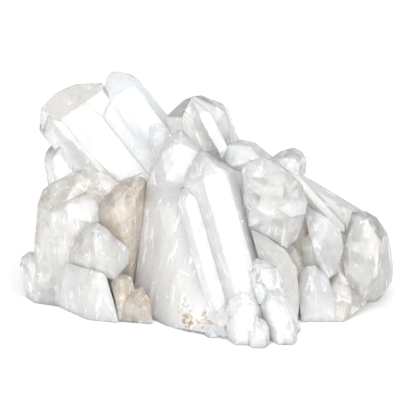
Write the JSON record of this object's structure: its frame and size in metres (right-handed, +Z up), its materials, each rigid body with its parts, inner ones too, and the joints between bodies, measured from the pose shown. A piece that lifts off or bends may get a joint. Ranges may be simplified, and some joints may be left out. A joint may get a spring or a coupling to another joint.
{
  "type": "quartz crystal cluster",
  "caption": "Natural quartz crystal cluster: six-sided prisms with pointed ends, grown together and leaning several ways from one base, cut off flat underneath to stand on a surface.",
  "frame": {"origin": "middle of the flat base, under the centre of the cluster's box in X and Y, on the surface it stands on", "axes": "+X to the right along the cluster's long side, -Y towards the front where the two large prisms lean left, +Z up"},
  "size_m": [0.1168, 0.0684, 0.0686],
  "materials": {
    "quartz": "clear to milky quartz with flat glassy faces, fine growth lines, inner veils, and thin brown iron stain in the cracks"
  },
  "bodies": {
    "root": {"quartz_cluster": "quartz"}
  },
  "joints": []
}
